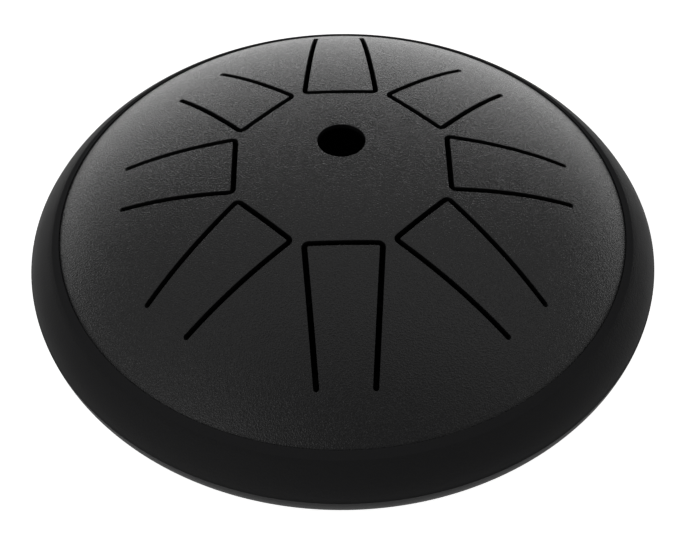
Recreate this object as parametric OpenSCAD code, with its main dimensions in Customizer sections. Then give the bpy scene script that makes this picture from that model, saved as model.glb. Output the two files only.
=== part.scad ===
// Steel tongue drum: two pressed steel shells joined at a flange, eight graded
// tongues cut from the domed top, a silicone ring round the seam and four feet.
// Millimetres. The origin is on the table below the middle of the drum, Z is up,
// and the longest tongue points to +Y, the back.

/* [Shells] */
// Outer diameter of the side wall of both shells
shell_d = 140; // [130:0.5:150]
// Thickness of the steel sheet
sheet_t = 1.2; // [0.8:0.1:1.6]
// Drop of the dome from its top to the side wall
dome_rise = 20.3; // [16:0.1:24]
// Height of the side wall from the edge of the dome to the seam
top_wall_h = 7.1; // [6.4:0.1:9]
// Depth of the lower shell from the seam to its flat base
bowl_depth = 40.6; // [36:0.1:50]
// Width of the flange that joins the shells
flange_w = 3.2; // [2.6:0.1:4.5]
// Outside radius of the bend from the dome to the side wall
crown_bend_r = 2; // [1.6:0.1:2.4]
// Radius of the bend from the side wall to the flange
flange_bend_r = 1; // [0.6:0.1:1.4]

/* [Lower shell] */
// Height of the straight wall below the seam
bowl_wall_h = 8.6; // [6:0.1:10]
// Radius of the shoulder below the straight wall
shoulder_r = 14; // [8:0.5:20]
// Angle of the sloping side from the upright
side_lean = 32; // [20:1:38]
// Radius of the bend from the sloping side to the base
base_bend_r = 18; // [8:0.5:20]
// Sound port's diameter as a share of the base's flat
port_share = 0.3526; // [0.2:0.0001:0.4]

/* [Tongues] */
// Width of the slots
slot_w = 1.3; // [0.8:0.05:1.6]
// Radius of the slot's middle line round a corner of the free end
slot_corner_r = 1; // [0.9:0.05:2]
// Angle that each side of a tongue leans in towards its root
tongue_lean = 4.3; // [0:0.1:6]
// Radius of the slot across the free ends, as a share of the shell's radius
tip_slot_share = 0.3614; // [0.33:0.0001:0.4]
// Width at the free end between the middles of the slots, as a share of the shell's radius
tongue_w_share = 0.2529; // [0.21:0.0001:0.27]
// Slot length of the low C tongue, as a share of the shell's radius like the others
low_c_share = 0.5086; // [0.42:0.0001:0.54]
// Slot length of the D tongue
d_share = 0.4643; // [0.4:0.0001:0.54]
// Slot length of the E tongue
e_share = 0.4529; // [0.37:0.0001:0.54]
// Slot length of the F tongue
f_share = 0.4343; // [0.34:0.0001:0.54]
// Slot length of the G tongue
g_share = 0.4114; // [0.31:0.0001:0.54]
// Slot length of the A tongue
a_share = 0.38; // [0.28:0.0001:0.54]
// Slot length of the B tongue
b_share = 0.3629; // [0.28:0.0001:0.54]
// Slot length of the high C tongue
high_c_share = 0.35; // [0.26:0.0001:0.54]

/* [Sound hole] */
// Diameter of the sound hole in the dome
sound_hole_d = 11.5; // [6:0.5:16]
// Distance of the sound hole behind the middle of the dome
sound_hole_y = 6.3; // [0:0.1:8]

/* [Silicone ring] */
// Thickness of the silicone outside the flange's edge
ring_wall = 3.7; // [2.5:0.1:6]
// How far the lip reaches in over the dome from the side wall
lip_reach = 1.1; // [1:0.1:3]
// Thickness of the lip at its inner edge
lip_t = 0.7; // [0.6:0.1:1.4]
// How far the ridge between lip and round face stands out from the side wall
ridge_stand = 1.5; // [1:0.1:2.5]
// How far the ridge lies below the end of the dome
ridge_drop = 0.3; // [0:0.1:0.7]
// Radius of the ring's round underside
under_r = 9.3; // [8.2:0.1:11]
// Gap between the silicone and the steel
ring_gap = 0.15; // [0.1:0.05:0.3]

/* [Feet] */
// Width of the base's flat outside the feet
foot_margin = 2; // [1:0.1:4]
// Diameter of a foot
foot_d = 13; // [11:0.5:15]
// Height of a foot below the base
foot_h = 5; // [3:0.1:8]
// Diameter of the neck in the base's hole
neck_d = 6; // [4:0.1:7]
// Gap round and above the neck
neck_gap = 0.1; // [0.05:0.05:0.2]
// Largest diameter of the barb that holds the foot
barb_d = 8.4; // [7.6:0.1:10]
// Height of the barb
barb_h = 4; // [3:0.1:5]
// Radius of the foot's lower edge
foot_edge_r = 1.2; // [0.5:0.1:2]

/* [Hidden] */

steel = "#2b2b2c";
silicone = "#1b1b1c";
foot_rubber = "#141415";

$fn = 96;

// Running gap across the root of a tongue
root_gap = 0.1;
// How far a cutter runs past the sheet it cuts
overrun = 5;
// Steps along the dome's profile, under the ring's lip, and round a bend
dome_steps = 26;
lip_steps = 1;
bend_steps = 6;

// Part of the dome's drop that follows the square of the radius
dome_square_share = 0.55;
// Where the ridge-to-seam curve of the ring bends, from the ridge
ring_bulge_share = 0.7;
// Tip of the barb as a share of its largest diameter
barb_tip_share = 0.55;

wall_r = shell_d / 2;
flange_r = wall_r + flange_w;
seam_z = foot_h + bowl_depth;
dome_end_z = seam_z + top_wall_h;
top_z = dome_end_z + dome_rise;
tip_slot_r = tip_slot_share * wall_r;
tongue_w = tongue_w_share * wall_r;
lip_r = wall_r - lip_reach;
foot_r = foot_d / 2;

// Directions of the tongues and of the feet, in degrees from +X
front = -90;
step_angle = 45;
diagonal = 45;
tongue_places = [
    ["tongue_d", front, d_share * wall_r],
    ["tongue_e", front + step_angle, e_share * wall_r],
    ["tongue_g", front + 2 * step_angle, g_share * wall_r],
    ["tongue_b", front + 3 * step_angle, b_share * wall_r],
    ["tongue_low_c", front + 4 * step_angle, low_c_share * wall_r],
    ["tongue_high_c", front + 5 * step_angle, high_c_share * wall_r],
    ["tongue_a", front + 6 * step_angle, a_share * wall_r],
    ["tongue_f", front + 7 * step_angle, f_share * wall_r],
];

// Height of the dome's outer face at radius r
function dome_z(r) =
    let (s = pow(r / wall_r, 2))
    top_z - dome_rise * (dome_square_share * s + (1 - dome_square_share) * s * s);

// Steepness of the dome's outer face at radius r, in degrees
function dome_fall(r) =
    let (s = r / wall_r, curve_share = 1 - dome_square_share)
    atan(dome_rise / wall_r * (2 * dome_square_share * s + 4 * curve_share * pow(s, 3)));

// Points [r, z, direction of the outer face] along a bend: centre, radius, first and
// last angle. A hollow bend faces its own centre.
function bend(c, radius, first, last, hollow = false) = [
    for (i = [0:bend_steps])
        let (a = first + (last - first) * i / bend_steps)
        [c[0] + radius * cos(a), c[1] + radius * sin(a), hollow ? a + 180 : a]
];

// A path's points moved along their directions by distance
function moved(path, distance) = [
    for (p = path)
        [p[0] + distance * cos(p[2]), p[1] + distance * sin(p[2])]
];

function backwards(list) = [for (i = [len(list) - 1:-1:0]) list[i]];

// Closed outline of a sheet whose outer face is the path
function sheet(path, t) = concat(moved(path, 0), backwards(moved(path, -t)));

// Outer face of the top shell, from the middle to the edge of its flange
crown_fall = dome_fall(wall_r);
crown_r = wall_r - crown_bend_r * (1 - sin(crown_fall));
crown_centre = [wall_r - crown_bend_r, dome_z(crown_r) - crown_bend_r * cos(crown_fall)];
top_bend_centre = [wall_r + flange_bend_r, seam_z + sheet_t + flange_bend_r];

function dome_path(from_r, steps) = [
    for (i = [0:steps])
        let (r = from_r + (crown_r - from_r) * i / steps)
        [r, dome_z(r), 90 - dome_fall(r)]
];

function top_edge_path() = concat(
    bend(crown_centre, crown_bend_r, 90 - crown_fall, 0),
    bend(top_bend_centre, flange_bend_r, 180, 270, hollow = true),
    [[flange_r, seam_z + sheet_t, 90]]
);

// Outer face of the lower shell, from the middle of its base to its flange
shoulder_centre = [wall_r - shoulder_r, seam_z - bowl_wall_h];
base_bend_z = foot_h + base_bend_r;
base_bend_x = shoulder_centre[0]
    + ((shoulder_r - base_bend_r) - (shoulder_centre[1] - base_bend_z) * sin(side_lean))
    / cos(side_lean);
base_bend_centre = [base_bend_x, base_bend_z];
low_bend_centre = [wall_r + flange_bend_r, seam_z - sheet_t - flange_bend_r];
base_flat_r = base_bend_x;
port_d = 2 * base_flat_r * port_share;
foot_circle_r = base_flat_r - foot_margin - foot_r;

function bowl_path() = concat(
    [[0, foot_h, -90]],
    bend(base_bend_centre, base_bend_r, -90, -side_lean),
    bend(shoulder_centre, shoulder_r, -side_lean, 0),
    bend(low_bend_centre, flange_bend_r, 180, 90, hollow = true),
    [[flange_r, seam_z - sheet_t, -90]]
);

// Half width of a tongue's slot line at distance u past its free end
function half_width(u) = tongue_w / 2 - u * tan(tongue_lean);

// A blunt wedge along +X from x0 to x1 that narrows by tongue_lean, with its
// two corners at x0 rounded
module wedge(x0, half0, x1, corner) {
    lean = tan(tongue_lean);
    half1 = half0 - (x1 - x0) * lean;
    corner_x = x0 + corner;
    corner_y = half0 - corner * lean - corner / cos(tongue_lean);
    side_x = corner_x + corner * sin(tongue_lean);
    side_y = corner_y + corner * cos(tongue_lean);
    polygon([
        [x0, -corner_y], [side_x, -side_y], [x1, -half1],
        [x1, half1], [side_x, side_y], [x0, corner_y],
    ]);
    for (side = [-1, 1])
        translate([corner_x, side * corner_y])
            circle(corner);
}

// Plan of a tongue, and of the window that it moves in, pointing along +X
module tongue_plan(length) {
    inset = slot_w / 2;
    wedge(
        tip_slot_r + inset,
        half_width(inset) - inset / cos(tongue_lean),
        tip_slot_r + length,
        slot_corner_r - inset
    );
}

module window_plan(length) {
    inset = slot_w / 2;
    root_r = tip_slot_r + length;
    root_half = half_width(length);
    wedge(
        tip_slot_r - inset,
        half_width(-inset) + inset / cos(tongue_lean),
        root_r + inset * sin(tongue_lean),
        slot_corner_r + inset
    );
    for (side = [-1, 1])
        translate([root_r, side * root_half])
            circle(inset);
    translate([root_r, -root_half])
        square([root_gap, 2 * root_half]);
}

module top_sheet() {
    rotate_extrude()
        polygon(sheet(concat(dome_path(0, dome_steps), top_edge_path()), sheet_t));
}

module through_dome() {
    translate([0, 0, seam_z + sheet_t])
        linear_extrude(top_z - seam_z + overrun)
            children();
}

module top_shell() {
    color(steel)
        difference() {
            top_sheet();
            for (place = tongue_places)
                rotate(place[1])
                    through_dome()
                        window_plan(place[2]);
            translate([0, sound_hole_y, 0])
                through_dome()
                    circle(d = sound_hole_d);
        }
}

module tongue(name) {
    place = tongue_places[search([name], tongue_places)[0]];
    color(steel)
        intersection() {
            top_sheet();
            rotate(place[1])
                through_dome()
                    tongue_plan(place[2]);
        }
}

module bottom_shell() {
    color(steel)
        difference() {
            rotate_extrude()
                polygon(sheet(bowl_path(), sheet_t));
            translate([0, 0, foot_h - overrun])
                cylinder(d = port_d, h = sheet_t + 2 * overrun);
            at_feet()
                translate([0, 0, foot_h - overrun])
                    cylinder(d = neck_d + 2 * neck_gap, h = sheet_t + 2 * overrun);
        }
}

// Seat of the ring on both shells, from the lip on the dome round the flange to
// where the underside meets the lower wall
function ring_seat() = concat(
    moved(concat(dome_path(lip_r, lip_steps), top_edge_path()), ring_gap),
    [[flange_r + ring_gap, seam_z + sheet_t + ring_gap]],
    [[flange_r + ring_gap, seam_z - sheet_t - ring_gap]],
    backwards(moved(concat(
        bend(low_bend_centre, flange_bend_r, 180, 90, hollow = true),
        [[flange_r, seam_z - sheet_t, -90]]
    ), ring_gap))
);

// Outer face of the ring, from the underside up to the lip's inner edge
function ring_curve(from, turn, to) = [
    for (i = [0:bend_steps])
        let (s = i / bend_steps, r = 1 - s)
        r * r * from + 2 * r * s * turn + s * s * to
];
belly = [flange_r + ring_wall, seam_z];
ridge = [wall_r + ridge_stand, dome_end_z - ridge_drop];
bulge = [ridge[0] + (belly[0] - ridge[0]) * ring_bulge_share, (ridge[1] + belly[1]) / 2];
lip_top = [lip_r, dome_z(lip_r) + (ring_gap + lip_t) / cos(dome_fall(lip_r))];
under_centre = [belly[0] - under_r, seam_z];
under_end = -acos((wall_r + ring_gap - under_centre[0]) / under_r);
function ring_face() = concat(
    moved(bend(under_centre, under_r, under_end, 0), 0),
    ring_curve(belly, bulge, ridge),
    [lip_top]
);

module rim_ring() {
    color(silicone)
        rotate_extrude()
            polygon(concat(ring_seat(), ring_face()));
}

// The four feet stand on the diagonals
module at_foot(x_side, y_side) {
    reach = foot_circle_r * cos(diagonal);
    translate([x_side * reach, y_side * reach, 0])
        children();
}

module at_feet() {
    for (x_side = [-1, 1], y_side = [-1, 1])
        at_foot(x_side, y_side)
            children();
}

module foot(x_side, y_side) {
    neck_top = foot_h + sheet_t + neck_gap;
    edge = bend([foot_r - foot_edge_r, foot_edge_r], foot_edge_r, -90, 0);
    color(foot_rubber)
        at_foot(x_side, y_side)
            rotate_extrude()
                polygon(concat(
                    [[0, 0]],
                    moved(edge, 0),
                    [
                        [foot_r, foot_h],
                        [neck_d / 2, foot_h],
                        [neck_d / 2, neck_top],
                        [barb_d / 2, neck_top],
                        [barb_d / 2 * barb_tip_share, neck_top + barb_h],
                        [0, neck_top + barb_h],
                    ]
                ));
}

top_shell();
tongue("tongue_low_c");  // tongue_low_c
tongue("tongue_d");  // tongue_d
tongue("tongue_e");  // tongue_e
tongue("tongue_f");  // tongue_f
tongue("tongue_g");  // tongue_g
tongue("tongue_a");  // tongue_a
tongue("tongue_b");  // tongue_b
tongue("tongue_high_c");  // tongue_high_c
bottom_shell();
rim_ring();
foot(-1, -1);  // foot_front_left
foot(1, -1);  // foot_front_right
foot(-1, 1);  // foot_back_left
foot(1, 1);  // foot_back_right
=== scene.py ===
"""Looks of a steel tongue drum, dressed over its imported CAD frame.

Sections and plans repeat the named sizes of the part's source. Meshes are made in
millimetres and become metres when a piece is finished. The drum stands on its feet at
the origin, Z is up, and the longest tongue points to +Y, the back.
"""
import logging
import math
from dataclasses import dataclass
from enum import Enum

import bmesh
import bpy
from mathutils import Matrix, Vector


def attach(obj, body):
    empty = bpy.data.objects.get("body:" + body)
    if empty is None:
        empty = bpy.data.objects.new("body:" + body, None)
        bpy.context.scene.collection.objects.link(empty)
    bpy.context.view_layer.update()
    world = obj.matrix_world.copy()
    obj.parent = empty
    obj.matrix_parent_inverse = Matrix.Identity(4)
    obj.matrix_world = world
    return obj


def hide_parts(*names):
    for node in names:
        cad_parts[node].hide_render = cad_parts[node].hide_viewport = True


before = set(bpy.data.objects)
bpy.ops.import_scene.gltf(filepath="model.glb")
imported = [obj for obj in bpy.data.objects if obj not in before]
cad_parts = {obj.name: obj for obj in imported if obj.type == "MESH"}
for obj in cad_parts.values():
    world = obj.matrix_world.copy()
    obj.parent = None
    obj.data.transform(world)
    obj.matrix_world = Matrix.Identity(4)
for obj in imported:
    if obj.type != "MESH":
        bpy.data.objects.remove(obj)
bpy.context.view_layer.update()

log = logging.getLogger("tongue_drum")

MM = 0.001
UP = Vector((0, 0, 1))
Path2D = list[tuple[float, float]]

# Lengths that the mesh tools work to, in millimetres. No face that is cut is wider than this
WIDEST_FACE = 3.5
# An opening is asked whether it holds the middle of a face only where it is nearer than this
HOLE_REACH = 1.0
# Corners nearer than this to a cutting line count as on it
ON_LINE = 0.004
# Corners nearer than this are one, in a cut sheet and in a spun section
SAME_CORNER = 0.008
SAME_SEAM = 0.0005
# Anything shorter has no length
LEAST_EDGE = 0.0001

# Edges that turn by more than this many degrees look sharp
SHARP_ANGLE = 35


def linear(hex_colour: str) -> tuple[float, float, float, float]:
    """Turns an sRGB hex colour into the linear colour that shaders take.

    Args:
        hex_colour: Six hex digits after a number sign.

    Returns:
        Red, green, blue and an alpha of one.
    """
    parts = [int(hex_colour[i:i + 2], 16) / 255 for i in (1, 3, 5)]
    light = [p / 12.92 if p <= 0.04045 else ((p + 0.055) / 1.055) ** 2.4 for p in parts]
    return (*light, 1.0)


def add_node(
    tree: bpy.types.NodeTree,
    kind: str,
    inputs: dict[str | int, object] | None = None,
    **settings: object,
) -> bpy.types.Node:
    """Adds a node with its settings, values and links.

    Args:
        tree: The node tree that gets the node.
        kind: The node's type name.
        inputs: Values or output sockets, by the input's name or number.
        **settings: Values of the node's own properties.

    Returns:
        The new node.
    """
    node = tree.nodes.new(kind)
    for name, value in settings.items():
        setattr(node, name, value)
    for key, value in (inputs or {}).items():
        if isinstance(value, bpy.types.NodeSocket):
            tree.links.new(value, node.inputs[key])
        else:
            node.inputs[key].default_value = value
    return node


def bare_material(name: str) -> tuple[bpy.types.Material, bpy.types.NodeTree, bpy.types.NodeSocket]:
    """Starts a material on an empty tree that reads the piece's own coordinates.

    Args:
        name: Name of the material.

    Returns:
        The material, its node tree and the socket that gives the place on the piece.
    """
    made = bpy.data.materials.new(name)
    made.use_nodes = True
    tree = made.node_tree
    tree.nodes.clear()
    place = add_node(tree, "ShaderNodeTexCoord").outputs["Object"]
    return made, tree, place


@dataclass(frozen=True)
class Shell:
    """Sizes that the pressed shells, the ring and the feet share, in millimetres."""

    wall_r: float = 70.0
    sheet_t: float = 1.2
    dome_rise: float = 20.3
    dome_square_share: float = 0.55
    top_wall_h: float = 7.1
    bowl_depth: float = 40.6
    foot_h: float = 5.0
    foot_circle_r: float = 34.035
    flange_w: float = 3.2
    crown_bend_r: float = 2.0
    flange_bend_r: float = 1.0
    flange_bend_steps: int = 6

    @property
    def seam_z(self) -> float:
        """Height of the seam between the shells."""
        return self.foot_h + self.bowl_depth

    @property
    def dome_end_z(self) -> float:
        """Height at which the dome would meet the side wall."""
        return self.seam_z + self.top_wall_h

    @property
    def top_z(self) -> float:
        """Height of the dome's middle."""
        return self.dome_end_z + self.dome_rise

    @property
    def flange_r(self) -> float:
        """Radius of the flange's edge."""
        return self.wall_r + self.flange_w

    def dome_z(self, r: float) -> float:
        """Height of the dome's outer face.

        Args:
            r: Radius in the plan.

        Returns:
            The height above the table.
        """
        s = (r / self.wall_r) ** 2
        share = self.dome_square_share
        return self.top_z - self.dome_rise * (share * s + (1 - share) * s * s)

    def dome_slope(self, r: float) -> float:
        """Steepness of the dome.

        Args:
            r: Radius in the plan.

        Returns:
            Fall over run.
        """
        s = r / self.wall_r
        share = self.dome_square_share
        return self.dome_rise / self.wall_r * (2 * share * s + 4 * (1 - share) * s ** 3)

    def dome_normal(self, x: float, y: float) -> Vector:
        """Direction of the dome's outer face above a point of the plan.

        Args:
            x: Place to the right.
            y: Place to the back.

        Returns:
            The direction, of length one.
        """
        r = math.hypot(x, y)
        if r < LEAST_EDGE:
            return UP.copy()
        slope = self.dome_slope(r)
        return Vector((x / r * slope, y / r * slope, 1)).normalized()


SHELL = Shell()


def bend(centre: tuple[float, float], radius: float, first: float, last: float, steps: int) -> Path2D:
    """Points along an arc of a section.

    Args:
        centre: Middle of the arc, as radius and height.
        radius: Radius of the arc.
        first: First angle in degrees, from outwards to up.
        last: Last angle in degrees.
        steps: Number of equal steps.

    Returns:
        The points, both ends included.
    """
    angles = [math.radians(first + (last - first) * i / steps) for i in range(steps + 1)]
    return [(centre[0] + radius * math.cos(a), centre[1] + radius * math.sin(a)) for a in angles]


class Opening:
    """A hole through a sheet, described in plan."""

    def outline(self, offset: float) -> list[Vector]:
        """Closed outline that runs at an offset outside the opening's edge."""
        raise NotImplementedError

    def gap(self, x: float, y: float) -> float:
        """Distance of a point from the opening's edge, positive in the steel."""
        raise NotImplementedError

    def holds(self, point: Vector) -> bool:
        """Tells whether a point of the plan lies in the opening."""
        return inside(point, self.outline(0))

    def towards(self, x: float, y: float) -> Vector:
        """Level direction from a point of the sheet to the opening.

        Args:
            x: Place to the right.
            y: Place to the back.

        Returns:
            The direction, of length one.
        """
        step = 0.01
        run_x = self.gap(x - step, y) - self.gap(x + step, y)
        run_y = self.gap(x, y - step) - self.gap(x, y + step)
        return Vector((run_x, run_y, 0)).normalized()


def inside(point: Vector, outline: list[Vector]) -> bool:
    """Tells whether a point lies in a closed outline.

    Args:
        point: The point, of which only the plan counts.
        outline: Corners of the outline in order.

    Returns:
        True if the point lies inside.
    """
    found = False
    for a, b in zip(outline, outline[1:] + outline[:1]):
        if (a.y > point.y) != (b.y > point.y):
            cross_x = a.x + (point.y - a.y) * (b.x - a.x) / (b.y - a.y)
            if point.x < cross_x:
                found = not found
    return found


@dataclass(frozen=True)
class RoundHole(Opening):
    """A round hole, in millimetres."""

    x: float
    y: float
    radius: float
    sides: int = 40

    def outline(self, offset: float) -> list[Vector]:
        """Closed outline that runs at an offset outside the hole's edge.

        Args:
            offset: Distance from the edge.

        Returns:
            The corners in order.
        """
        reach = self.radius + offset
        turns = [2 * math.pi * (i + 0.5) / self.sides for i in range(self.sides)]
        return [Vector((self.x + reach * math.cos(t), self.y + reach * math.sin(t), 0)) for t in turns]

    def gap(self, x: float, y: float) -> float:
        """Distance of a point from the hole's edge, positive in the steel."""
        return math.hypot(x - self.x, y - self.y) - self.radius


@dataclass(frozen=True)
class TongueSlot(Opening):
    """The U-shaped slot that frees a tongue on three sides, in millimetres and degrees.

    Its own plan has u running out along the tongue from the slot across the free end,
    and v across it.
    """

    name: str
    direction: float
    length: float
    tip_r: float = 25.298
    width: float = 17.703
    lean: float = 4.3
    slot_w: float = 1.3
    corner_r: float = 1.0
    corner_steps: int = 5
    end_steps: int = 8
    # Hair gap at the root's outer face, and how much farther back its inner edge lies, which
    # leave room for the bending
    root_gap: float = 0.02
    root_undercut: float = 0.08

    def half_width(self, u: float) -> float:
        """Distance of the slot's middle line from the tongue's middle, at u."""
        return self.width / 2 - u * math.tan(math.radians(self.lean))

    @property
    def corner_v(self) -> float:
        """Distance of the corner's centre from the tongue's middle."""
        lean = math.radians(self.lean)
        return self.half_width(self.corner_r) - self.corner_r / math.cos(lean)

    def spot(self, u: float, v: float) -> Vector:
        """Place in the drum's plan of a point of the tongue's own plan.

        Args:
            u: Distance along the tongue.
            v: Distance across it.

        Returns:
            The place.
        """
        turn = math.radians(self.direction)
        out = Vector((math.cos(turn), math.sin(turn), 0))
        across = Vector((-math.sin(turn), math.cos(turn), 0))
        return out * (self.tip_r + u) + across * v

    def own(self, x: float, y: float) -> tuple[float, float]:
        """Place in the tongue's own plan of a point of the drum's plan.

        Args:
            x: Place to the right.
            y: Place to the back.

        Returns:
            Its u and v.
        """
        turn = math.radians(self.direction)
        out = x * math.cos(turn) + y * math.sin(turn) - self.tip_r
        return out, y * math.cos(turn) - x * math.sin(turn)

    def half_outline(self, offset: float) -> Path2D:
        """One half of the outline, from the tongue's middle outside to inside.

        Args:
            offset: Distance from the slot's edge.

        Returns:
            The points as u and v.
        """
        reach = self.slot_w / 2 + offset
        side = 90 - self.lean
        corner = (self.corner_r, self.corner_v)
        end = (self.length, self.half_width(self.length))
        points = bend(corner, self.corner_r + reach, 180, side, self.corner_steps)
        points += bend(end, reach, side, side - 180, self.end_steps)
        if reach < self.corner_r:
            points += bend(corner, self.corner_r - reach, side, 180, self.corner_steps)
        else:
            lean = math.radians(self.lean)
            points.append((reach, self.half_width(reach) - reach / math.cos(lean)))
        return points

    def outline(self, offset: float) -> list[Vector]:
        """Closed outline of the slot, grown by an offset on both sides.

        Args:
            offset: Distance from the slot's edge.

        Returns:
            The corners in order, in the drum's plan.
        """
        half = self.half_outline(offset)
        mirrored = [(u, -v) for u, v in reversed(half)]
        return [self.spot(u, v) for u, v in half + mirrored]

    def gap(self, x: float, y: float) -> float:
        """Distance of a point from the slot's edge.

        Args:
            x: Place to the right.
            y: Place to the back.

        Returns:
            The distance, positive in the steel.
        """
        u, v = self.own(x, y)
        v = abs(v)
        lean = math.radians(self.lean)
        along = Vector((math.cos(lean), -math.sin(lean)))
        corner = Vector((self.corner_r, self.corner_v))
        start = corner + self.corner_r * Vector((-along.y, along.x))
        end = Vector((self.length, self.half_width(self.length)))
        here = Vector((u, v))
        share = max(0.0, min(1.0, (here - start).dot(along) / (end - start).length))
        nearest = [(here - start.lerp(end, share)).length, math.hypot(u, max(0.0, v - self.corner_v))]
        from_corner = here - corner
        if from_corner.x < -along.y * from_corner.length and from_corner.y > 0:
            nearest.append(abs(from_corner.length - self.corner_r))
        return min(nearest) - self.slot_w / 2

    def frees(self, point: Vector) -> bool:
        """Tells whether a point of the plan lies on the tongue."""
        u, v = self.own(point.x, point.y)
        return 0 < u < self.length and abs(v) < self.half_width(u)

    def root_line(self) -> tuple[Vector, Vector]:
        """Ends of the line at which the tongue joins the shell."""
        half = self.half_width(self.length)
        return self.spot(self.length, -half), self.spot(self.length, half)

    def draw_back(self, bm: bmesh.types.BMesh) -> None:
        """Draws the root end of a parted tongue back from the shell.

        Args:
            bm: The tongue's outer face, still open.
        """
        step = self.spot(self.root_gap, 0) - self.spot(0, 0)
        for vert in bm.verts:
            if self.own(vert.co.x, vert.co.y)[0] > self.length - self.root_gap:
                vert.co -= step

    def undercut(self, bm: bmesh.types.BMesh) -> None:
        """Draws the inner edge of the root end farther back.

        Args:
            bm: The tongue with its thickness.
        """
        step = self.spot(self.root_undercut, 0) - self.spot(0, 0)
        root = [v for v in bm.verts if self.own(v.co.x, v.co.y)[0] > self.length - 2 * self.root_gap]
        beside = {(vert, edge.other_vert(vert)) for vert in root for edge in vert.link_edges}
        for vert in {other for vert, other in beside if vert.co.z - other.co.z > SHELL.sheet_t / 2}:
            vert.co -= step


def crosses(face: bmesh.types.BMFace, start: Vector, end: Vector) -> bool:
    """Tells whether a line of the plan passes through a face.

    Args:
        face: The face, seen from above.
        start: First end of the line.
        end: Last end of the line.

    Returns:
        True if a part of the line lies in the face.
    """
    along = end - start
    length = along.length
    along.normalize()
    places = []
    for vert in face.verts:
        away = vert.co - start
        places.append((along.x * away.y - along.y * away.x, along.x * away.x + along.y * away.y))
    met = []
    for (side_a, run_a), (side_b, run_b) in zip(places, places[1:] + places[:1]):
        if (side_a > 0) != (side_b > 0):
            met.append(run_a + (run_b - run_a) * side_a / (side_a - side_b))
    return bool(met) and max(met) > 0 and min(met) < length


def in_order(bm: bmesh.types.BMesh) -> bmesh.types.BMesh:
    """Makes a mesh again with its edges and faces in the order of their points.

    The spin operator gives them in another order each run, which moves later cuts a little.

    Args:
        bm: The spun mesh, which is freed.

    Returns:
        The same shape, in an order that is the same each run.
    """
    bm.verts.index_update()
    faces = sorted([vert.index for vert in face.verts] for face in bm.faces)
    ordered = bmesh.new()
    verts = [ordered.verts.new(vert.co) for vert in bm.verts]
    for face in faces:
        ordered.faces.new([verts[number] for number in face])
    bm.free()
    return ordered


def cut_line(bm: bmesh.types.BMesh, faces: dict, start: Vector, end: Vector) -> None:
    """Cuts the faces that a line of the plan passes through.

    Dicts stand for sets here, because they keep their order and so give the same mesh each run.

    Args:
        bm: The sheet.
        faces: The faces to look at, as keys, which is kept up to date.
        start: First end of the line.
        end: Last end of the line.
    """
    middle = (start + end).xy / 2
    reach = (end - start).length / 2 + WIDEST_FACE
    near = [face for face in faces if (face.calc_center_median().xy - middle).length < reach]
    hit = [face for face in near if crosses(face, start, end)]
    edges = dict.fromkeys(edge for face in hit for edge in face.edges)
    verts = dict.fromkeys(vert for face in hit for vert in face.verts)
    along = (end - start).normalized()
    made = bmesh.ops.bisect_plane(
        bm,
        geom=hit + list(edges) + list(verts),
        dist=ON_LINE,
        plane_co=(start.x, start.y, 0),
        plane_no=(-along.y, along.x, 0),
    )
    for face in hit:
        del faces[face]
    faces.update((item, None) for item in made["geom"] if isinstance(item, bmesh.types.BMFace))


@dataclass(frozen=True)
class Section:
    """A line of points in the plane of radius and height, with corners to round off."""

    points: Path2D
    closed: bool = False
    rounded: tuple[tuple[int, float], ...] = ()

    def spin(self, steps: int) -> bmesh.types.BMesh:
        """Spins the section round the Z axis.

        Args:
            steps: Number of steps in the full turn.

        Returns:
            The spun mesh, with closed poles.
        """
        bm = bmesh.new()
        verts = [bm.verts.new((r, 0, z)) for r, z in self.points]
        ends = verts[1:] + verts[:1] if self.closed else verts[1:]
        for a, b in zip(verts, ends):
            bm.edges.new((a, b))
        for number, reach in self.rounded:
            bmesh.ops.bevel(
                bm,
                geom=[verts[number]],
                offset=reach,
                offset_type="OFFSET",
                segments=5,
                profile=0.5,
                affect="VERTICES",
                material=-1,
            )
        bmesh.ops.spin(
            bm,
            geom=list(bm.verts) + list(bm.edges),
            cent=(0, 0, 0),
            axis=UP,
            angle=2 * math.pi,
            steps=steps,
            use_merge=True,
        )
        bm = in_order(bm)
        bmesh.ops.remove_doubles(bm, verts=bm.verts, dist=SAME_SEAM)
        bmesh.ops.dissolve_degenerate(bm, dist=LEAST_EDGE, edges=bm.edges)
        bmesh.ops.recalc_face_normals(bm, faces=bm.faces)
        return bm


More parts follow.
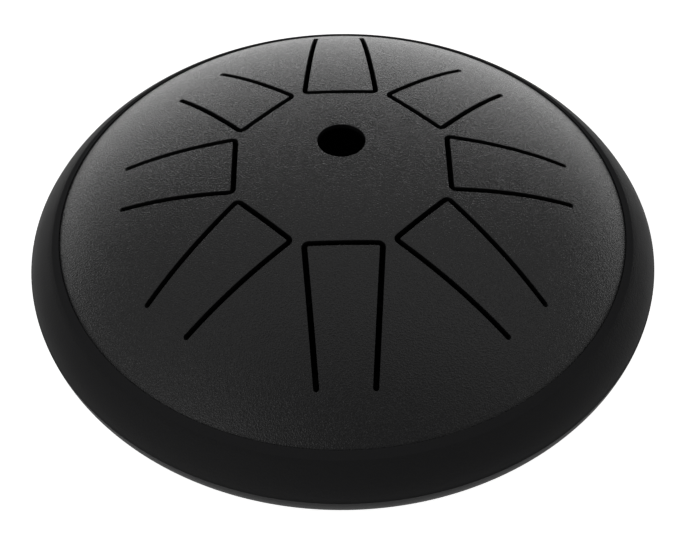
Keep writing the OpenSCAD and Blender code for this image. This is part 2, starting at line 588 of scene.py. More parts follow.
@dataclass(frozen=True)
class PressedSheet:
    """A spun sheet with openings whose outer edges are rounded, in millimetres."""

    section: Section
    openings: tuple[Opening, ...]
    facing: int
    plan_r: float
    edge_r: float = 0.12
    edge_offsets: tuple[float, ...] = (0.0, 0.035, 0.12)
    # Faces whose middle is closer to an opening than this are cut
    near_w: float = 3.0
    # Faces turned out of the drum by more than these shares get the powder coat, the rest the near-black
    # painted shade
    powder_flat_share: float = 0.3
    powder_side_share: float = 0.1
    steps: int = 144

    def face_z(self, r: float) -> float:
        """Height of the outer face at radius r, in the part with openings."""
        raise NotImplementedError

    def face_normal(self, x: float, y: float) -> Vector:
        """Direction of the outer face above or below a point of the plan."""
        raise NotImplementedError

    def extra_lines(self) -> list[tuple[Vector, Vector]]:
        """Further lines of the plan, cut into the faces near the openings."""
        return []

    def cut(self) -> bmesh.types.BMesh:
        """Spins the sheet's outer face and cuts the outlines and the further lines into it.

        Returns:
            The face as an open mesh that still has the pieces inside the outlines.
        """
        bm = self.section.spin(self.steps)
        self.face_outwards(bm)
        lines = self.extra_lines()
        for opening in self.openings:
            near = dict.fromkeys(face for face in bm.faces if self.beside(face, opening))
            for offset in self.edge_offsets:
                outline = opening.outline(offset)
                for start, end in zip(outline, outline[1:] + outline[:1]):
                    cut_line(bm, near, start, end)
            for start, end in lines:
                cut_line(bm, near, start, end)
        flat = [vert for vert in bm.verts if math.hypot(vert.co.x, vert.co.y) < self.plan_r]
        bmesh.ops.remove_doubles(bm, verts=flat, dist=SAME_CORNER)
        for vert in bm.verts:
            r = math.hypot(vert.co.x, vert.co.y)
            if r < self.plan_r:
                vert.co.z = self.face_z(r)
        return bm

    def beside(self, face: bmesh.types.BMFace, opening: Opening) -> bool:
        """Tells whether a face of the sheet lies in or close to an opening.

        Args:
            face: The face.
            opening: The opening.

        Returns:
            True if the opening's outlines may pass through the face.
        """
        middle = face.calc_center_median()
        in_plan = self.facing * face.normal.z > 0
        return in_plan and opening.gap(middle.x, middle.y) < self.near_w

    def face_outwards(self, bm: bmesh.types.BMesh) -> None:
        """Turns the open face so that its normals point out of the drum.

        Args:
            bm: The spun face.
        """
        middle = min(bm.faces, key=lambda face: face.calc_center_median().xy.length)
        if middle.normal.z * self.facing < 0:
            bmesh.ops.reverse_faces(bm, faces=bm.faces)

    def thicken(self, bm: bmesh.types.BMesh) -> None:
        """Gives the open face the sheet's thickness and rounds the openings' edges.

        Args:
            bm: The cut face, which becomes a closed sheet.
        """
        bm.normal_update()
        bmesh.ops.solidify(bm, geom=list(bm.faces), thickness=SHELL.sheet_t)
        for vert in bm.verts:
            if self.on_face(vert.co):
                rim = self.rim(vert.co)
                if rim:
                    lean = self.edge_r - max(rim[0], 0)
                    drop = self.edge_r - math.sqrt(max(self.edge_r ** 2 - lean ** 2, 0))
                    vert.co.z -= self.facing * drop
        bm.normal_update()
        # Faces that look out get the powder coat; the cut walls and the inside get the near-black painted
        # shade
        for face in bm.faces:
            face.material_index = 0 if self.powder_not_shade(face) else 1

    def powder_not_shade(self, face: bmesh.types.BMFace) -> bool:
        """Tells whether a face looks out of the drum, so that it gets the powder coat and not the painted
        shade.

        Args:
            face: A face of the closed sheet.

        Returns:
            True for the powder, False for the near-black painted shade.
        """
        middle = face.calc_center_median()
        outwards = self.facing * face.normal.z
        if middle.xy.length < self.plan_r:
            return outwards > self.powder_flat_share
        return face.normal.xy.dot(middle.xy.normalized()) + outwards / 2 > self.powder_side_share

    def on_face(self, place: Vector) -> bool:
        """Tells whether a point lies on the outer face, in the part with openings."""
        r = math.hypot(place.x, place.y)
        return r < self.plan_r and abs(place.z - self.face_z(r)) < 2 * self.edge_r

    def rim(self, place: Vector) -> tuple[float, Opening] | None:
        """Finds the opening on whose rounded edge a point lies.

        Args:
            place: The point.

        Returns:
            The distance to the opening's edge and the opening, or None away from all.
        """
        for opening in self.openings:
            gap = opening.gap(place.x, place.y)
            if gap < self.edge_r:
                return gap, opening
        return None

    def normal_at(self, place: Vector) -> Vector:
        """Direction of the outer face, rounded edges included.

        Args:
            place: A point of the face.

        Returns:
            The direction, of length one.
        """
        normal = self.face_normal(place.x, place.y)
        rim = self.rim(place)
        if rim is None:
            return normal
        lean = min(1.0, 1 - max(rim[0], 0) / self.edge_r)
        side = rim[1].towards(place.x, place.y)
        return (normal * math.sqrt(1 - lean * lean) + side * lean).normalized()

    def corner_normals(self, mesh: bpy.types.Mesh) -> list[Vector]:
        """Directions for the face corners of a finished piece.

        Args:
            mesh: The piece's mesh, still in millimetres.

        Returns:
            One direction for each corner, of no length where the mesh's own holds.
        """
        outer = {v.index: self.normal_at(v.co) for v in mesh.vertices if self.on_face(v.co)}
        normals = [Vector((0, 0, 0))] * len(mesh.loops)
        for polygon in mesh.polygons:
            if self.on_face(polygon.center) and all(v in outer for v in polygon.vertices):
                for corner in polygon.loop_indices:
                    normals[corner] = outer[mesh.loops[corner].vertex_index]
        return normals


@dataclass(frozen=True)
class DomeSheet(PressedSheet):
    """The domed sheet of the top shell, its tongues still in it."""

    def face_z(self, r: float) -> float:
        """Height of the dome at radius r."""
        return SHELL.dome_z(r)

    def face_normal(self, x: float, y: float) -> Vector:
        """Direction of the dome above a point of the plan."""
        return SHELL.dome_normal(x, y)

    def extra_lines(self) -> list[tuple[Vector, Vector]]:
        """Root lines of the tongues."""
        return [item.root_line() for item in self.openings if isinstance(item, TongueSlot)]


@dataclass(frozen=True)
class BowlSheet(PressedSheet):
    """The pressed bowl, cut in its flat base."""

    def face_z(self, r: float) -> float:
        """Height of the base's underside."""
        return SHELL.foot_h

    def face_normal(self, x: float, y: float) -> Vector:
        """Direction of the base's underside."""
        return -UP


class Slot(Enum):
    """Names of the drum's material slots."""

    POWDER_COAT = "powder_coat"
    SILICONE = "silicone"
    FOOT_RUBBER = "foot_rubber"


@dataclass(frozen=True)
class PowderCoat:
    """Black polyester powder coat on pressed steel, baked to a fine even grain.

    The grain breaks its satin gloss into a fine sparkle where light grazes it.
    """

    colour: str = "#1f1f20"
    thin_colour: str = "#262627"
    roughness: float = 0.31
    # The grain's peaks are glossier than its hollows by this much either way
    gloss_spread: float = 0.16
    refraction: float = 1.55
    # Grain of the coat, drawn coarser than the real 0.15 mm so that it shows
    grain_mm: float = 0.36
    grain_depth_mm: float = 0.17
    # Values of the noise at the grain's hollows and peaks
    hollow: float = 0.3
    peak: float = 0.7

    def material(self) -> bpy.types.Material:
        """Makes the material.

        Returns:
            The material.
        """
        made, tree, place = bare_material("powder_coated_steel")
        grain = add_node(
            tree,
            "ShaderNodeTexNoise",
            {"Vector": place, "Scale": 1 / (self.grain_mm * MM), "Detail": 1.0, "Roughness": 0.6},
        )
        tint = add_node(
            tree,
            "ShaderNodeMix",
            {"Factor": grain.outputs["Fac"], "A": linear(self.colour), "B": linear(self.thin_colour)},
            data_type="RGBA",
        )
        gloss = add_node(
            tree,
            "ShaderNodeMapRange",
            {
                "Value": grain.outputs["Fac"],
                "From Min": self.hollow,
                "From Max": self.peak,
                "To Min": self.roughness + self.gloss_spread,
                "To Max": self.roughness - self.gloss_spread,
            },
        )
        bumps = add_node(
            tree,
            "ShaderNodeBump",
            {"Height": grain.outputs["Fac"], "Strength": 1.0, "Distance": self.grain_depth_mm * MM},
        )
        skin = add_node(
            tree,
            "ShaderNodeBsdfPrincipled",
            {
                "Base Color": tint.outputs["Result"],
                "Roughness": gloss.outputs["Result"],
                "Normal": bumps.outputs["Normal"],
                "IOR": self.refraction,
            },
        )
        add_node(tree, "ShaderNodeOutputMaterial", {"Surface": skin.outputs["BSDF"]})
        return made


@dataclass(frozen=True)
class PaintedShadeBlack:
    """Near-black painted shade inside the shells and on the cut edges.

    It stands in for the shade in the slots, the holes and the drum's inside, so that they look deep black.
    """

    colour: str = "#09090a"
    roughness: float = 0.6
    refraction: float = 1.5
    specular: float = 0.2
    # Patches of this size are duller or glossier, by the spread
    cloud_mm: float = 6.0
    gloss_spread: float = 0.1

    def material(self) -> bpy.types.Material:
        """Makes the material.

        Returns:
            The material.
        """
        made, tree, place = bare_material("painted_shade_black")
        cloud = add_node(
            tree,
            "ShaderNodeTexNoise",
            {"Vector": place, "Scale": 1 / (self.cloud_mm * MM), "Detail": 3.0},
        )
        gloss = add_node(
            tree,
            "ShaderNodeMapRange",
            {
                "Value": cloud.outputs["Fac"],
                "To Min": self.roughness - self.gloss_spread,
                "To Max": self.roughness + self.gloss_spread,
            },
        )
        skin = add_node(
            tree,
            "ShaderNodeBsdfPrincipled",
            {
                "Base Color": linear(self.colour),
                "Roughness": gloss.outputs["Result"],
                "IOR": self.refraction,
                "Specular IOR Level": self.specular,
            },
        )
        add_node(tree, "ShaderNodeOutputMaterial", {"Surface": skin.outputs["BSDF"]})
        return made


@dataclass(frozen=True)
class MouldedRubber:
    """Black silicone or rubber from a steel mould.

    It is matt and takes its grain from the mould's spark-worn face; a polished stretch of
    the mould leaves it smoother and darker.
    """

    name: str
    colour: str
    roughness: float
    specular: float
    grain_mm: float
    grain_depth_mm: float
    refraction: float = 1.41
    # Release wax leaves patches of this size duller or glossier, by the spread
    cloud_mm: float = 9.0
    gloss_spread: float = 0.04

    def material(self) -> bpy.types.Material:
        """Makes the material.

        Returns:
            The material.
        """
        made, tree, place = bare_material(self.name)
        grain = add_node(
            tree,
            "ShaderNodeTexNoise",
            {"Vector": place, "Scale": 1 / (self.grain_mm * MM), "Detail": 2.0, "Roughness": 0.6},
        )
        cloud = add_node(
            tree,
            "ShaderNodeTexNoise",
            {"Vector": place, "Scale": 1 / (self.cloud_mm * MM), "Detail": 4.0},
        )
        gloss = add_node(
            tree,
            "ShaderNodeMapRange",
            {
                "Value": cloud.outputs["Fac"],
                "To Min": self.roughness - self.gloss_spread,
                "To Max": self.roughness + self.gloss_spread,
            },
        )
        bumps = add_node(
            tree,
            "ShaderNodeBump",
            {"Height": grain.outputs["Fac"], "Strength": 1.0, "Distance": self.grain_depth_mm * MM},
        )
        skin = add_node(
            tree,
            "ShaderNodeBsdfPrincipled",
            {
                "Base Color": linear(self.colour),
                "Roughness": gloss.outputs["Result"],
                "Normal": bumps.outputs["Normal"],
                "IOR": self.refraction,
                "Specular IOR Level": self.specular,
            },
        )
        add_node(tree, "ShaderNodeOutputMaterial", {"Surface": skin.outputs["BSDF"]})
        return made


@dataclass(frozen=True)
class Finishes:
    """The materials of the drum's pieces."""

    powder: bpy.types.Material
    # Near-black painted shade for the cut walls and the shells' insides
    primer: bpy.types.Material
    ring_face: bpy.types.Material
    ring_lip: bpy.types.Material
    feet: bpy.types.Material

    @classmethod
    def mixed(cls) -> "Finishes":
        """Makes all finishes.

        Returns:
            The finishes, ready for the pieces.
        """
        return cls(
            powder=PowderCoat().material(),
            primer=PaintedShadeBlack().material(),
            ring_face=MouldedRubber("silicone_grained", "#29292a", 0.62, 0.2, 0.5, 0.06).material(),
            ring_lip=MouldedRubber("silicone_smooth", "#353536", 0.8, 0.0, 0.4, 0.003).material(),
            feet=MouldedRubber("foot_rubber", "#121213", 0.7, 0.3, 0.5, 0.01).material(),
        )


def finish_piece(
    bm: bmesh.types.BMesh,
    name: str,
    body: str,
    nodes: list[str],
    materials: list[bpy.types.Material],
    sheet: PressedSheet | None = None,
) -> bpy.types.Object:
    """Turns a mesh in millimetres into a finished piece on its body.

    Args:
        bm: The mesh, which is freed.
        name: Name of the piece.
        body: Body that the piece rides on.
        nodes: CAD nodes that the piece stands for.
        materials: Materials of the piece, in the order of its faces' numbers.
        sheet: The pressed sheet that gives the outer face's directions.

    Returns:
        The piece.
    """
    mesh = bpy.data.meshes.new(name)
    bm.to_mesh(mesh)
    bm.free()
    mesh.shade_smooth()
    mesh.set_sharp_from_angle(angle=math.radians(SHARP_ANGLE))
    if sheet is not None:
        mesh.normals_split_custom_set(sheet.corner_normals(mesh))
    mesh.transform(Matrix.Scale(MM, 4))
    for material in materials:
        mesh.materials.append(material)
    piece = bpy.data.objects.new(name, mesh)
    bpy.context.scene.collection.objects.link(piece)
    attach(piece, body)
    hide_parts(*nodes)
    log.info("%s: %d faces on %s", name, len(mesh.polygons), body)
    return piece


@dataclass(frozen=True)
class TopShell:
    """The domed top shell with its eight tongues and the sound hole, in millimetres."""

    tongues: tuple[TongueSlot, ...] = (
        TongueSlot("low_c", 90, 35.602),
        TongueSlot("d", -90, 32.501),
        TongueSlot("e", -45, 31.703),
        TongueSlot("f", 225, 30.401),
        TongueSlot("g", 0, 28.798),
        TongueSlot("a", 180, 26.6),
        TongueSlot("b", 45, 25.403),
        TongueSlot("high_c", 135, 24.5),
    )
    sound_hole_r: float = 5.75
    sound_hole_y: float = 6.3
    # The openings all lie within this radius
    plan_r: float = 66.0
    dome_steps: int = 30
    crown_steps: int = 8

    def section(self) -> Section:
        """Outer face from the middle to the flange's edge.

        Returns:
            The section.
        """
        fall = math.degrees(math.atan(SHELL.dome_slope(SHELL.wall_r)))
        bend_r = SHELL.crown_bend_r
        crown_r = SHELL.wall_r - bend_r * (1 - math.sin(math.radians(fall)))
        crown_z = SHELL.dome_z(crown_r) - bend_r * math.cos(math.radians(fall))
        radii = [crown_r * i / self.dome_steps for i in range(self.dome_steps)]
        points = [(r, SHELL.dome_z(r)) for r in radii]
        points += bend((SHELL.wall_r - bend_r, crown_z), bend_r, 90 - fall, 0, self.crown_steps)
        low_z = SHELL.seam_z + SHELL.sheet_t
        low_r = SHELL.flange_bend_r
        low_bend = (SHELL.wall_r + low_r, low_z + low_r)
        points += bend(low_bend, low_r, 180, 270, SHELL.flange_bend_steps)
        points.append((SHELL.flange_r, low_z))
        return Section(points)

    def sheet(self) -> DomeSheet:
        """The sheet with all openings, before the tongues are parted from it."""
        hole = RoundHole(0, self.sound_hole_y, self.sound_hole_r)
        return DomeSheet(self.section(), (*self.tongues, hole), facing=1, plan_r=self.plan_r)

    def build(self, finishes: Finishes) -> None:
        """Makes the shell and the tongues.

        Args:
            finishes: The drum's materials.
        """
        sheet = self.sheet()
        whole = sheet.cut()
        self.part(whole, sheet, None, finishes)
        for tongue in self.tongues:
            self.part(whole, sheet, tongue, finishes)
        whole.free()

    def part(
        self,
        whole: bmesh.types.BMesh,
        sheet: DomeSheet,
        tongue: TongueSlot | None,
        finishes: Finishes,
    ) -> None:
        """Parts one tongue, or the shell without its tongues, from the whole sheet.

        Args:
            whole: The cut sheet, which is left as it is.
            sheet: The sheet's sizes.
            tongue: The tongue, or None for the shell.
            finishes: The drum's materials.
        """
        bm = whole.copy()
        spare = [face for face in bm.faces if not self.belongs(face, sheet, tongue)]
        bmesh.ops.delete(bm, geom=spare, context="FACES")
        if tongue is not None:
            tongue.draw_back(bm)
        sheet.thicken(bm)
        if tongue is not None:
            tongue.undercut(bm)
        name = "top_shell" if tongue is None else f"tongue_{tongue.name}"
        body = "drum" if tongue is None else f"{tongue.name}_tongue"
        # The second material is near-black painted shade on the cut walls and the inside
        coat_and_shade = [finishes.powder, finishes.primer]
        finish_piece(bm, f"{name}_coated", body, [name], coat_and_shade, sheet)

    def belongs(self, face: bmesh.types.BMFace, sheet: DomeSheet, tongue: TongueSlot | None) -> bool:
        """Tells whether a face of the whole sheet is part of a tongue or of the shell.

        Args:
            face: The face.
            sheet: The sheet's sizes.
            tongue: The tongue, or None for the shell.

        Returns:
            True if the face stays with that piece.
        """
        middle = face.calc_center_median()
        if middle.xy.length > sheet.plan_r:
            return tongue is None
        if tongue is not None:
            return tongue.frees(middle) and not tongue.holds(middle)
        if any(item.frees(middle) for item in self.tongues):
            return False
        near = [item for item in sheet.openings if item.gap(middle.x, middle.y) < HOLE_REACH]
        return not any(item.holds(middle) for item in near)


@dataclass(frozen=True)
class BottomShell:
    """The pressed bowl with the sound port and the holes for the feet, in millimetres."""

    wall_h: float = 8.6
    shoulder_r: float = 14.0
    side_lean: float = 32.0
    base_bend_r: float = 18.0
    port_r: float = 15.0
    port_sides: int = 60
    neck_hole_r: float = 3.1
    neck_hole_sides: int = 24
    # The openings all lie within this radius
    plan_r: float = 42.0
    edge_offsets: tuple[float, ...] = (0.0, 0.2)
    base_steps: int = 24
    base_bend_steps: int = 14
    shoulder_steps: int = 10

    def section(self) -> Section:
        """Outer face from the middle of the base to the flange's edge.

        Returns:
            The section.
        """
        lean = math.radians(self.side_lean)
        shoulder = (SHELL.wall_r - self.shoulder_r, SHELL.seam_z - self.wall_h)
        bend_z = SHELL.foot_h + self.base_bend_r
        drop = (shoulder[1] - bend_z) * math.sin(lean)
        bend_x = shoulder[0] + (self.shoulder_r - self.base_bend_r - drop) / math.cos(lean)
        points = [(bend_x * i / self.base_steps, SHELL.foot_h) for i in range(self.base_steps)]
        points += bend((bend_x, bend_z), self.base_bend_r, -90, -self.side_lean, self.base_bend_steps)
        points += bend(shoulder, self.shoulder_r, -self.side_lean, 0, self.shoulder_steps)
        low_r = SHELL.flange_bend_r
        low_z = SHELL.seam_z - SHELL.sheet_t
        low_bend = (SHELL.wall_r + low_r, low_z - low_r)
        points += bend(low_bend, low_r, 180, 90, SHELL.flange_bend_steps)
        points.append((SHELL.flange_r, low_z))
        return Section(points)

    def build(self, finishes: Finishes) -> None:
        """Makes the bowl.

        Args:
            finishes: The drum's materials.
        """
        reach = SHELL.foot_circle_r * math.sqrt(0.5)
        holes = [RoundHole(0, 0, self.port_r, self.port_sides)]
        for x_side in (-1, 1):
            for y_side in (-1, 1):
                place = (x_side * reach, y_side * reach)
                holes.append(RoundHole(*place, self.neck_hole_r, self.neck_hole_sides))
        sheet = BowlSheet(
            self.section(),
            tuple(holes),
            facing=-1,
            plan_r=self.plan_r,
            edge_offsets=self.edge_offsets,
        )
        bm = sheet.cut()
        cut_out = [f for f in bm.faces if self.open_at(f.calc_center_median(), holes)]
        bmesh.ops.delete(bm, geom=cut_out, context="FACES")
        sheet.thicken(bm)
        # The second material is near-black painted shade on the cut walls and the inside
        coat_and_shade = [finishes.powder, finishes.primer]
        finish_piece(bm, "bottom_shell_coated", "drum", ["bottom_shell"], coat_and_shade, sheet)

    def open_at(self, place: Vector, holes: list[RoundHole]) -> bool:
        """Tells whether a point of the base lies in a hole."""
        return any(hole.gap(place.x, place.y) < HOLE_REACH and hole.holds(place) for hole in holes)


@dataclass(frozen=True)
class RimRing:
    """The silicone ring that grips both flanges, in millimetres."""

    wall: float = 3.7
    lip_reach: float = 1.1
    # The lip thins out to an edge that lies on the steel
    lip_t: float = 0.25
    lip_gap: float = 0.04
    # Width of the smooth stretch of the mould, from the lip's edge
    smooth_w: float = 1.85
    lip_edge_reach: float = 0.18
    ridge_stand: float = 1.5
    ridge_drop: float = 0.45
    ridge_edge_reach: float = 0.45
    bulge_share: float = 0.72
    bulge_steps: int = 20
    # The mould's parting line, a fine groove round the widest place
    parting_w: float = 0.3
    parting_depth: float = 0.12
    parting_step: float = 0.01
    under_r: float = 9.3
    under_first: float = -3.0
    under_steps: int = 24
    # Clearance of the groove and the bore from the steel
    gap: float = 0.15
    groove_chamfer: float = 0.8
    # The bore leaves the side wall this far below the dome's end and this far inside it
    crown_drop: float = 0.4
    crown_lead: float = 0.45
    steps: int = 288

    def section(self) -> Section:
        """Closed section, from the lip's inner edge over the round face and back inside.

        Returns:
            The section.
        """
        belly = Vector((SHELL.flange_r + self.wall, SHELL.seam_z))
        ridge = Vector((SHELL.wall_r + self.ridge_stand, SHELL.dome_end_z - self.ridge_drop))
        turn = Vector((ridge.x + (belly.x - ridge.x) * self.bulge_share, (ridge.y + belly.y) / 2))
        lip_r = SHELL.wall_r - self.lip_reach
        upright = math.cos(math.atan(SHELL.dome_slope(lip_r)))
        lip_foot = Vector((lip_r, SHELL.dome_z(lip_r) + self.lip_gap / upright))
        lip_top = Vector((lip_r, lip_foot.y + self.lip_t / upright))
        smooth_end = lip_top.lerp(ridge, self.smooth_w / (ridge.x - lip_r))
        points = [tuple(lip_foot), tuple(lip_top), tuple(smooth_end)]
        for i in range(self.bulge_steps):
            s = i / self.bulge_steps
            place = ridge * (1 - s) ** 2 + turn * 2 * s * (1 - s) + belly * s * s
            points.append(tuple(place))
        points += [
            (belly.x - self.parting_step, belly.y + self.parting_w / 2),
            (belly.x - self.parting_depth, belly.y),
            (belly.x, belly.y - self.parting_w / 2),
        ]
        under_x = belly.x - self.under_r
        wall_x = SHELL.wall_r + self.gap
        last = -math.degrees(math.acos((wall_x - under_x) / self.under_r))
        points += bend((under_x, belly.y), self.under_r, self.under_first, last, self.under_steps)
        groove_r = SHELL.flange_r + self.gap
        groove_h = SHELL.sheet_t + self.gap
        chamfer = self.groove_chamfer
        crown_r = wall_x - self.crown_lead
        points += [
            (wall_x, belly.y - groove_h - chamfer),
            (wall_x + chamfer, belly.y - groove_h),
            (groove_r, belly.y - groove_h),
            (groove_r, belly.y + groove_h),
            (wall_x + chamfer, belly.y + groove_h),
            (wall_x, belly.y + groove_h + chamfer),
            (wall_x, SHELL.dome_end_z - self.crown_drop),
            (crown_r, SHELL.dome_z(crown_r) + self.gap / upright),
        ]
        rounded = ((1, self.lip_edge_reach), (3, self.ridge_edge_reach))
        return Section(points, closed=True, rounded=rounded)

    def build(self, finishes: Finishes) -> None:
        """Makes the ring, its lip smooth and its round face grained.

        Args:
            finishes: The drum's materials.
        """
        bm = self.section().spin(self.steps)
        smooth_r = SHELL.wall_r - self.lip_reach + self.smooth_w
        for face in bm.faces:
            middle = face.calc_center_median()
            on_lip = middle.xy.length < smooth_r and middle.z > SHELL.seam_z
            face.material_index = 1 if on_lip else 0
        faces = [finishes.ring_face, finishes.ring_lip]
        finish_piece(bm, "rim_ring_silicone", "drum", ["rim_ring"], faces)


@dataclass(frozen=True)
class Foot:
    """A push-in rubber foot with a barbed neck, in millimetres."""

    name: str
    x_side: int
    y_side: int
    radius: float = 6.5
    neck_r: float = 3.0
    neck_gap: float = 0.1
    barb_r: float = 4.2
    barb_h: float = 4.0
    barb_tip_share: float = 0.55
    edge_reach: float = 1.2
    top_edge_reach: float = 0.4
    tip_edge_reach: float = 0.5
    # A ring groove under the foot, which helps it grip
    groove_r: float = 3.6
    groove_w: float = 0.8
    groove_depth: float = 0.4
    steps: int = 64

    def section(self) -> Section:
        """Half section from the underside's middle to the top of the barb.

        Returns:
            The section.
        """
        barb_z = SHELL.foot_h + SHELL.sheet_t + self.neck_gap
        tip_r = self.barb_r * self.barb_tip_share
        points = [
            (0, 0),
            (self.groove_r, 0),
            (self.groove_r + self.groove_w / 3, self.groove_depth),
            (self.groove_r + self.groove_w * 2 / 3, self.groove_depth),
            (self.groove_r + self.groove_w, 0),
            (self.radius, 0),
            (self.radius, SHELL.foot_h),
            (self.neck_r, SHELL.foot_h),
            (self.neck_r, barb_z),
            (self.barb_r, barb_z),
            (tip_r, barb_z + self.barb_h),
            (0, barb_z + self.barb_h),
        ]
        rounded = ((5, self.edge_reach), (6, self.top_edge_reach), (10, self.tip_edge_reach))
        return Section(points, rounded=rounded)

    def build(self, finishes: Finishes) -> None:
        """Makes the foot in its place.

        Args:
            finishes: The drum's materials.
        """
        bm = self.section().spin(self.steps)
        reach = SHELL.foot_circle_r * math.sqrt(0.5)
        bmesh.ops.translate(bm, verts=bm.verts, vec=(self.x_side * reach, self.y_side * reach, 0))
        finish_piece(bm, f"{self.name}_rubber", "drum", [self.name], [finishes.feet])


@dataclass(frozen=True)
class Softbox:
    """A rectangular studio light that looks at the drum, in degrees and metres.

    The azimuth is counted from the drum's right to its back.
    """

    name: str
    azimuth: float
    elevation: float
    width: float
    height: float
    # Brightness of its face, where one is paper white
    level: float
    distance: float = 1.3
    aim_z: float = 0.05

    def build(self) -> None:
        """Makes the light, aimed at the drum."""
        lamp = bpy.data.lights.new(self.name, "AREA")
        lamp.shape = "RECTANGLE"
        lamp.size = self.width
        lamp.size_y = self.height
        lamp.energy = self.level * math.pi * self.width * self.height
        holder = bpy.data.objects.new(self.name, lamp)
        rise = math.radians(self.elevation)
        turn = math.radians(self.azimuth)
        out = Vector((math.cos(rise) * math.cos(turn), math.cos(rise) * math.sin(turn), math.sin(rise)))
        place = out * self.distance + UP * self.aim_z
        holder.matrix_world = Matrix.Translation(place) @ (-out).to_track_quat("-Z", "Y").to_matrix().to_4x4()
        bpy.context.scene.collection.objects.link(holder)


@dataclass(frozen=True)
class PhotoCamera:
    """The camera of the photograph, in millimetres and degrees.

    It looks at the middle of the dome's top, from which it is set off sideways and upwards.
    """

    lens: float = 71.315
    sensor: float = 36.0
    elevation: float = 48.7942
    azimuth: float = -0.5327
    roll: float = -0.5015
    distance: float = 319.54
    off_right: float = 0.2866
    off_up: float = -26.6863

    def build(self) -> None:
        """Makes the camera and puts the scene's view through it."""
        up_angle = math.radians(self.elevation)
        turn = math.radians(self.azimuth)
        level = Vector((-math.sin(turn), math.cos(turn), 0))
        ahead = level * math.cos(up_angle) - UP * math.sin(up_angle)
        right = Vector((math.cos(turn), math.sin(turn), 0))
        above = right.cross(ahead)
        roll = math.radians(self.roll)
        axis_x = right * math.cos(roll) + above * math.sin(roll)
        axis_y = above * math.cos(roll) - right * math.sin(roll)
        middle = UP * SHELL.top_z
        place = middle - ahead * self.distance + right * self.off_right + above * self.off_up
        frame_axes = Matrix((axis_x, axis_y, -ahead)).transposed().to_4x4()
        camera = bpy.data.cameras.new("photo_camera")
        camera.lens = self.lens
        camera.sensor_width = self.sensor
        camera.clip_start = 0.01
        camera.clip_end = 20
        holder = bpy.data.objects.new("photo_camera", camera)
        holder.matrix_world = Matrix.Translation(place * MM) @ frame_axes
        bpy.context.scene.collection.objects.link(holder)
        bpy.context.scene.camera = holder


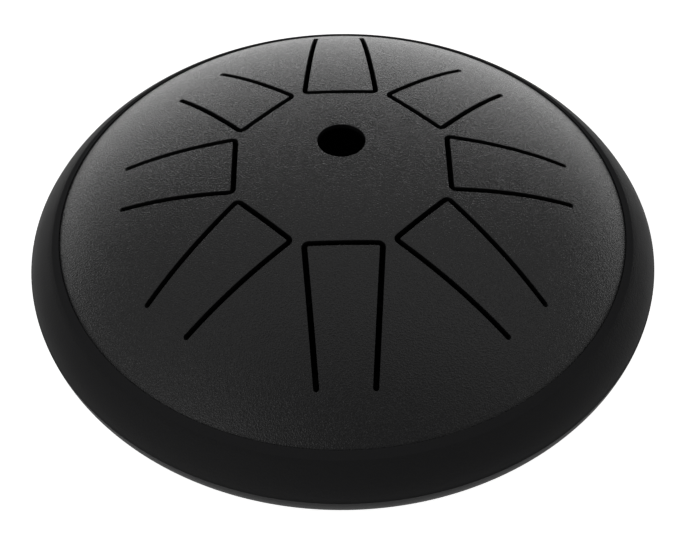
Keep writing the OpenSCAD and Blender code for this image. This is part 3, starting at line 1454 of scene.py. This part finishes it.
@dataclass(frozen=True)
class Studio:
    """The pale floor, the soft light and the surroundings of the photograph."""

    floor_colour: str = "#ececea"
    floor_half_m: float = 3.0
    # Light that the floor shows to the camera and in reflections on top of its own
    floor_glow: float = 0.92
    # Painted shadow under the drum: the paper is black out to the first radius and fades to its own colour
    # and glow by the second, where it would show through the sound port below the slots
    painted_shadow_inner_m: float = 0.022
    painted_shadow_outer_m: float = 0.034
    sky_level: float = 0.145
    boxes: tuple[Softbox, ...] = (
        Softbox("back_low", 90, 7, 1.6, 0.25, 3.0),
        Softbox("back_low_left", 135, 7, 1.0, 0.25, 0.6),
        Softbox("back_low_right", 45, 7, 1.0, 0.25, 0.5),
        Softbox("back_high", 90, 50, 1.4, 0.8, 0.32),
        Softbox("left", 180, 35, 1.0, 0.8, 0.14),
        Softbox("right", 0, 35, 1.0, 0.8, 0.22),
        Softbox("left_high", 170, 62, 0.9, 0.9, 0.28),
        Softbox("right_high", 10, 62, 0.9, 0.9, 0.33),
        Softbox("front_left", 225, 22, 0.8, 0.5, 1.1),
    )

    def build(self) -> None:
        """Makes the floor, the lights and the world."""
        self.build_floor()
        self.build_world()
        for box in self.boxes:
            box.build()
        bpy.context.scene.view_settings.view_transform = "Standard"

    def seen(self, tree: bpy.types.NodeTree) -> bpy.types.NodeSocket:
        """Adds the nodes that tell rays that see the background from light's own rays.

        Args:
            tree: The node tree.

        Returns:
            A socket that is one for camera, glossy and transmission rays.
        """
        rays = add_node(tree, "ShaderNodeLightPath")
        first = add_node(
            tree,
            "ShaderNodeMath",
            {0: rays.outputs["Is Camera Ray"], 1: rays.outputs["Is Glossy Ray"]},
            operation="MAXIMUM",
        )
        both = add_node(
            tree,
            "ShaderNodeMath",
            {0: first.outputs["Value"], 1: rays.outputs["Is Transmission Ray"]},
            operation="MAXIMUM",
        )
        return both.outputs["Value"]

    def build_floor(self) -> None:
        """Makes the floor, which the background rays see as white around its shadow, with a black painted
        shadow under the middle of the drum.
        """
        bm = bmesh.new()
        bmesh.ops.create_grid(bm, x_segments=8, y_segments=8, size=self.floor_half_m)
        mesh = bpy.data.meshes.new("floor")
        bm.to_mesh(mesh)
        bm.free()
        made, tree, place = bare_material("matt_paper")
        # Painted shadow: black paper and no glow near the middle, under the drum's sound port
        distance = add_node(tree, "ShaderNodeVectorMath", {0: place}, operation="LENGTH")
        outside_painted_shadow = add_node(
            tree,
            "ShaderNodeMapRange",
            {
                "Value": distance.outputs["Value"],
                "From Min": self.painted_shadow_inner_m,
                "From Max": self.painted_shadow_outer_m,
            },
            interpolation_type="SMOOTHSTEP",
        )
        tint = add_node(
            tree,
            "ShaderNodeMix",
            {"Factor": outside_painted_shadow.outputs["Result"], "A": linear("#000000"), "B": linear(self.floor_colour)},
            data_type="RGBA",
        )
        paper = add_node(tree, "ShaderNodeBsdfDiffuse", {"Color": tint.outputs["Result"]})
        glow_here = add_node(
            tree,
            "ShaderNodeMath",
            {0: outside_painted_shadow.outputs["Result"], 1: self.floor_glow},
            operation="MULTIPLY",
        )
        level = add_node(
            tree,
            "ShaderNodeMath",
            {0: self.seen(tree), 1: glow_here.outputs["Value"]},
            operation="MULTIPLY",
        )
        glow = add_node(tree, "ShaderNodeEmission", {"Strength": level.outputs["Value"]})
        both = add_node(tree, "ShaderNodeAddShader", {0: paper.outputs["BSDF"], 1: glow.outputs["Emission"]})
        add_node(tree, "ShaderNodeOutputMaterial", {"Surface": both.outputs["Shader"]})
        mesh.materials.append(made)
        floor = bpy.data.objects.new("floor", mesh)
        bpy.context.scene.collection.objects.link(floor)

    def build_world(self) -> None:
        """Makes the surroundings: white to the camera, dim as a light."""
        world = bpy.data.worlds.new("studio")
        world.use_nodes = True
        tree = world.node_tree
        tree.nodes.clear()
        rays = add_node(tree, "ShaderNodeLightPath")
        level = add_node(
            tree,
            "ShaderNodeMapRange",
            {"Value": rays.outputs["Is Camera Ray"], "To Min": self.sky_level, "To Max": 1.0},
        )
        sky = add_node(
            tree,
            "ShaderNodeBackground",
            {"Color": linear("#ffffff"), "Strength": level.outputs["Result"]},
        )
        add_node(tree, "ShaderNodeOutputWorld", {"Surface": sky.outputs["Background"]})
        bpy.context.scene.world = world


def main() -> None:
    """Builds the drum, the studio and the camera."""
    logging.basicConfig(level=logging.INFO, format="%(message)s")
    PhotoCamera().build()
    Studio().build()
    finishes = Finishes.mixed()
    TopShell().build(finishes)
    BottomShell().build(finishes)
    RimRing().build(finishes)
    for x_side, x_word in ((-1, "left"), (1, "right")):
        for y_side, y_word in ((-1, "front"), (1, "back")):
            Foot(f"foot_{y_word}_{x_word}", x_side, y_side).build(finishes)


if __name__ == "__main__":
    main()
